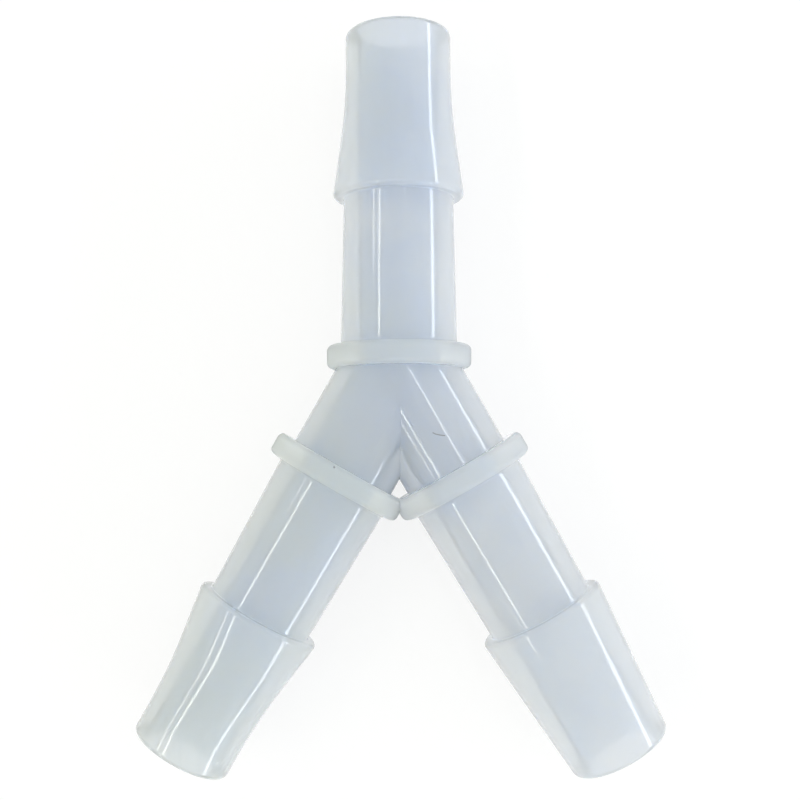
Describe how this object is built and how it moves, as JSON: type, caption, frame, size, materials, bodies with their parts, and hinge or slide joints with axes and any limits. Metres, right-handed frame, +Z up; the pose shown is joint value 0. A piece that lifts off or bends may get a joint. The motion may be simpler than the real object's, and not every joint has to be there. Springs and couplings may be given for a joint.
{
  "type": "tubing y connector",
  "caption": "Moulded Y-shaped connector for soft hose, hollow throughout, with a stop collar, a smooth stem and a hose barb on every arm.",
  "frame": {"origin": "on the surface it lies on, under the middle of its outline", "axes": "+Z up, square to the level plane of the three axes; +Y along the trunk, away from the crossing; +X to the right branch"},
  "size_m": [0.0433, 0.0604, 0.0117],
  "materials": {
    "natural_polypropylene": "translucent milky, smooth moulded gloss"
  },
  "bodies": {
    "root": {"y_connector": "natural_polypropylene"}
  },
  "joints": []
}
